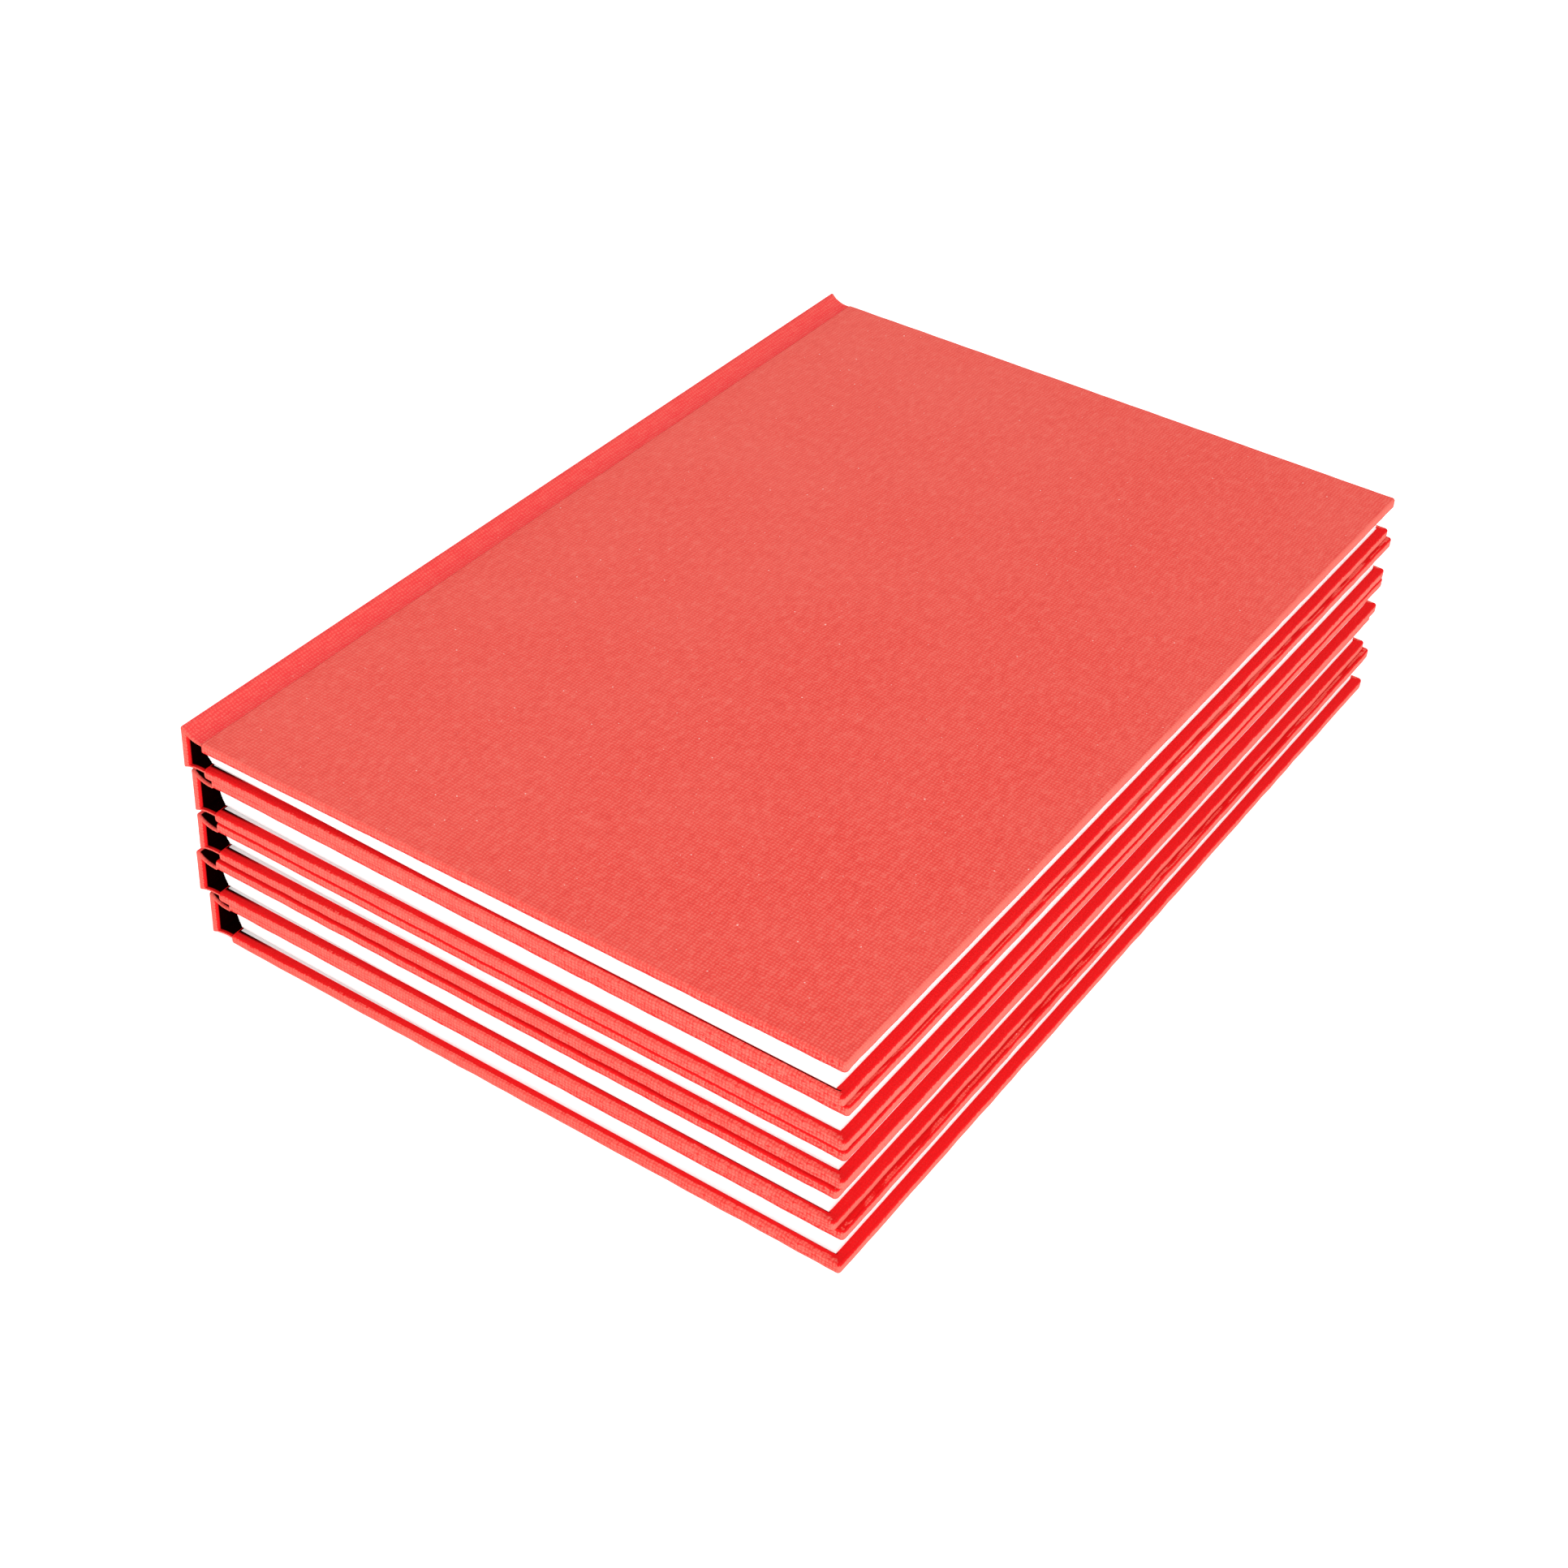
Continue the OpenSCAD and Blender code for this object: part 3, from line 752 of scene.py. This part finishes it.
def leaf_tree():
    """Stacks thin leaves between the endpapers: the foot lifts and the spine edge slants."""
    tree = bpy.data.node_groups.new("leaf stack", "GeometryNodeTree")
    face = tree.interface
    face.new_socket("Geometry", in_out="OUTPUT", socket_type="NodeSocketGeometry")
    for socket, kind in (("Leaves", "NodeSocketInt"), ("Width", "NodeSocketFloat"),
                         ("Length", "NodeSocketFloat"), ("Height at spine", "NodeSocketFloat"),
                         ("Height at fore-edge", "NodeSocketFloat"), ("Lift", "NodeSocketFloat"),
                         ("Lift width", "NodeSocketFloat"), ("Slant", "NodeSocketFloat"),
                         ("Unevenness", "NodeSocketFloat"), ("Seed", "NodeSocketInt"),
                         ("Paper", "NodeSocketMaterial")):
        face.new_socket(socket, in_out="INPUT", socket_type=kind)
    nodes, links = tree.nodes, tree.links
    given = nodes.new("NodeGroupInput").outputs

    def math_node(operation, a, b=0.0, c=0.0):
        node = nodes.new("ShaderNodeMath")
        node.operation = operation
        for socket, value in zip(node.inputs, (a, b, c)):
            if isinstance(value, bpy.types.NodeSocket):
                links.new(value, socket)
            else:
                socket.default_value = value
        return node.outputs[0]

    def vector(x, y, z):
        node = nodes.new("ShaderNodeCombineXYZ")
        for socket, value in zip(node.inputs, (x, y, z)):
            if isinstance(value, bpy.types.NodeSocket):
                links.new(value, socket)
            else:
                socket.default_value = value
        return node.outputs[0]

    pitch = math_node("DIVIDE", 1.0, given["Leaves"])
    leaf = nodes.new("GeometryNodeMeshCube")
    leaf_size = vector(given["Width"], given["Length"], math_node("MULTIPLY", pitch, 0.97))
    links.new(leaf_size, leaf.inputs["Size"])
    leaf.inputs["Vertices X"].default_value = 24
    line = nodes.new("GeometryNodeMeshLine")
    links.new(given["Leaves"], line.inputs["Count"])
    links.new(vector(math_node("MULTIPLY", given["Width"], 0.5), 0.0, math_node("MULTIPLY", pitch, 0.5)),
              line.inputs["Start Location"])
    links.new(vector(0.0, 0.0, pitch), line.inputs["Offset"])
    onto = nodes.new("GeometryNodeInstanceOnPoints")
    links.new(line.outputs[0], onto.inputs["Points"])
    links.new(leaf.outputs[0], onto.inputs["Instance"])
    shift = nodes.new("FunctionNodeRandomValue")
    shift.data_type = "FLOAT_VECTOR"
    spread_out = vector(given["Unevenness"], given["Unevenness"], 0.0)
    links.new(spread_out, shift.inputs[1])
    negative = nodes.new("ShaderNodeVectorMath")
    negative.operation = "SCALE"
    negative.inputs["Scale"].default_value = -1.0
    links.new(spread_out, negative.inputs[0])
    links.new(negative.outputs[0], shift.inputs[0])
    links.new(given["Seed"], shift.inputs["Seed"])
    move = nodes.new("GeometryNodeTranslateInstances")
    links.new(onto.outputs[0], move.inputs["Instances"])
    links.new(shift.outputs[0], move.inputs["Translation"])
    real = nodes.new("GeometryNodeRealizeInstances")
    links.new(move.outputs[0], real.inputs[0])
    position = nodes.new("ShaderNodeSeparateXYZ")
    links.new(nodes.new("GeometryNodeInputPosition").outputs[0], position.inputs[0])
    x, y, level = position.outputs
    share = math_node("DIVIDE", x, given["Width"])
    ceiling = math_node("MULTIPLY_ADD", share,
                        math_node("SUBTRACT", given["Height at fore-edge"], given["Height at spine"]),
                        given["Height at spine"])
    near = math_node("MAXIMUM", 0.0, math_node("SUBTRACT", 1.0, math_node("DIVIDE", x, given["Lift width"])))
    floor = math_node("MULTIPLY", given["Lift"], near)
    z = math_node("MULTIPLY_ADD", level, math_node("SUBTRACT", ceiling, floor), floor)
    lean = math_node("MULTIPLY", given["Slant"], math_node("POWER", math_node("SUBTRACT", 1.0, level), 2.0))
    x = math_node("MULTIPLY_ADD", lean, math_node("MULTIPLY", near, near), x)
    put = nodes.new("GeometryNodeSetPosition")
    links.new(real.outputs[0], put.inputs["Geometry"])
    links.new(vector(x, y, z), put.inputs["Position"])
    finish = nodes.new("GeometryNodeSetMaterial")
    links.new(put.outputs[0], finish.inputs["Geometry"])
    links.new(given["Paper"], finish.inputs["Material"])
    links.new(finish.outputs[0], nodes.new("NodeGroupOutput").inputs[0])
    return tree


def page_block(k, tree):
    """The leaves of one notebook, in place."""
    name = f"notebook{k}_leaves"
    mesh = bpy.data.meshes.new(name + "_start")
    maker = bpy.data.objects.new(name + "_maker", mesh)
    bpy.context.scene.collection.objects.link(maker)
    stack = maker.modifiers.new("leaf stack", "NODES")
    stack.node_group = tree
    gap = leaf_clear if k == top else 0.0
    slope = math.tan(tilt(k))

    def pages_top(x):
        return front_in(k) + (x - board_x) * slope - (2 * endpaper_t + gap) / math.cos(tilt(k))

    foot = cover_t + 2 * endpaper_t
    values = {"Leaves": round((leaves_t + fullness[k - 1]) / LEAF_T),
              "Width": page_w * MM, "Length": page_l * MM,
              "Height at spine": (pages_top(page_x) - foot) * MM,
              "Height at fore-edge": (pages_top(page_end) - foot) * MM,
              "Lift": page_lift * MM * 1.1, "Lift width": page_lift_w * MM, "Slant": page_slant * MM,
              "Unevenness": 0.03 * MM, "Seed": k, "Paper": LEAVES}
    for item in tree.interface.items_tree:
        if item.in_out == "INPUT":
            stack[item.identifier] = values[item.name]
    bpy.context.view_layer.update()
    made = bpy.data.meshes.new_from_object(maker.evaluated_get(bpy.context.evaluated_depsgraph_get()))
    made.name = name
    co = np.zeros(len(made.vertices) * 3)
    made.vertices.foreach_get("co", co)
    local = co.reshape(-1, 3) / MM + (page_x, cover_l / 2 + page_slide[k - 1], foot)
    made.vertices.foreach_set("co", to_row(k, local).ravel())
    made.update()
    bpy.data.objects.remove(maker)
    piece = bpy.data.objects.new(name, made)
    bpy.context.scene.collection.objects.link(piece)
    return piece


def hinge_paper():
    """The fold of the top notebook's front endpaper, from the loose leaf to the pasted leaf."""
    section, k = front_cover(top), top
    leaf = endpaper_t
    at = front_in(k) - leaf - leaf_clear
    under_joint = front_valley(k) - double_t
    path = [(page_x + 0.3, at - 0.08), (page_x, at + 0.1),
            (valley_x + 0.15, under_joint - 0.35), (valley_x + 0.45, under_joint - 0.12),
            (board_x - 0.42, under_joint - 0.1), (board_x - 0.34, front_in(k) + 0.8),
            (board_x - 0.28, front_in(k) + 0.1),
            section(0.1, -0.06), section(board_set + 0.2, -0.09)]
    ys = [y + page_slide[k - 1] for y in spread(square_w + 0.5, cover_l - square_w - 0.5, 8.0)]
    points = [(x, y, z) for x, z in path for y in ys]
    n = len(ys)
    faces = [(i * n + j, i * n + j + 1, (i + 1) * n + j + 1, (i + 1) * n + j)
             for i in range(len(path) - 1) for j in range(n - 1)]
    mesh = bpy.data.meshes.new("notebook5_hinge_paper")
    mesh.from_pydata([tuple(p) for p in to_row(k, points)], [], faces)
    mesh.materials.append(PAPER)
    mesh.shade_smooth()
    piece = bpy.data.objects.new("notebook5_hinge_paper", mesh)
    bpy.context.scene.collection.objects.link(piece)
    wall = piece.modifiers.new("paper thickness", "SOLIDIFY")
    wall.thickness = 0.08 * MM
    wall.offset = 0.0
    return piece


# The camera, at the photograph's angle

def camera():
    cam = bpy.data.cameras.new("camera")
    cam.sensor_width = 36.0
    cam.lens = 36.0 * 3256.1 / 1932
    azimuth, elevation, roll = math.radians(31.468), math.radians(38.153), math.radians(4.121)
    back = Vector((math.sin(azimuth) * math.cos(elevation), -math.cos(azimuth) * math.cos(elevation),
                   math.sin(elevation)))
    level = Vector((0, 0, 1)).cross(back).normalized()
    upright = back.cross(level)
    right = level * math.cos(roll) + upright * math.sin(roll)
    up = back.cross(right)
    eye = bpy.data.objects.new("camera", cam)
    bpy.context.scene.collection.objects.link(eye)
    place = Vector((0.01216, -0.03957, 0.0349)) + back * 0.5085
    for i, axis in enumerate((right, up, back)):
        for j in range(3):
            eye.matrix_world[j][i] = axis[j]
    eye.matrix_world.translation = place
    cam.clip_start = 0.01
    cam.clip_end = 50.0
    bpy.context.scene.camera = eye


def area_light(name, place, aim, size, power, colour=(1, 1, 1)):
    data = bpy.data.lights.new(name, "AREA")
    data.shape = "RECTANGLE"
    data.size, data.size_y = size
    data.energy = power
    data.color = colour
    lamp = bpy.data.objects.new(name, data)
    bpy.context.scene.collection.objects.link(lamp)
    lamp.location = place
    lamp.rotation_mode = "QUATERNION"
    lamp.rotation_quaternion = (Vector(aim) - Vector(place)).to_track_quat("-Z", "Y")


def studio():
    """A white floor, a white surround and broad soft lights."""
    mesh = bpy.data.meshes.new("floor")
    half = 6.0
    corners = [(-half, -half, 0), (half, -half, 0), (half, half, 0), (-half, half, 0)]
    mesh.from_pydata(corners, [], [(0, 1, 2, 3)])
    floor = bpy.data.objects.new("floor", mesh)
    bpy.context.scene.collection.objects.link(floor)
    f = Finish("white_floor", 0.9)
    f.paint(f.mix(f.noise(f.place("Object"), 3.0), (0.97, 0.97, 0.97), (0.985, 0.985, 0.985)))
    f.shader.inputs["Emission Color"].default_value = (1, 1, 1, 1)
    f.shader.inputs["Emission Strength"].default_value = 0.5
    mesh.materials.append(f.material)
    world = bpy.data.worlds.new("surround")
    bpy.context.scene.world = world
    world.use_nodes = True
    sky = world.node_tree.nodes["Background"]
    sky.inputs["Color"].default_value = (1, 1, 1, 1)
    sky.inputs["Strength"].default_value = 0.50
    area_light("key", (0.95, -1.05, 0.85), (0, 0, 0.02), (0.8, 0.6), 19.5)
    area_light("overhead", (-0.2, 0.4, 1.4), (0, 0, 0), (1.4, 1.4), 7.0)
    bpy.context.scene.view_settings.view_transform = "Standard"


# Putting it together

camera()
tree = leaf_tree()
for k in range(1, top + 1):
    stations = case_section(k)
    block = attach(page_block(k, tree), "stack")
    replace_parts(block, f"notebook{k}_pages")
    if k < top:
        case = cloth_piece(f"notebook{k}_case_cloth", k, stations, ("front", "joint", "spine", "back"), True)
        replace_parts(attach(case, "stack"), f"notebook{k}_cloth")
    else:
        cover = cloth_piece("notebook5_front_cloth", k, stations, ("front",), False)
        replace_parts(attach(cover, "front_cover"), "notebook5_cover_cloth")
        case = cloth_piece("notebook5_back_cloth", k, stations, ("spine", "back"), False)
        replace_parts(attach(case, "stack"), "notebook5_spine_cloth")
        joint = cloth_piece("notebook5_joint_cloth", k, stations, ("joint",), False)
        paper_fold = hinge_paper()
        for piece, start, end, finish in ((joint, valley_x - 0.45, valley_x + 0.45, "bookcloth"),
                                          (paper_fold, valley_x + 0.63, valley_x + 0.85, "paper")):
            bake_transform(piece)

finishes = {"board": BOARD, "endpaper": PAPER, "pastedown": PAPER, "flyleaf": PAPER, "lining": LINING}
for name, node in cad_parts.items():
    finish = finishes.get(name.rsplit("_", 1)[1])
    if finish is not None:
        node.data.materials.clear()
        node.data.materials.append(finish)

studio()
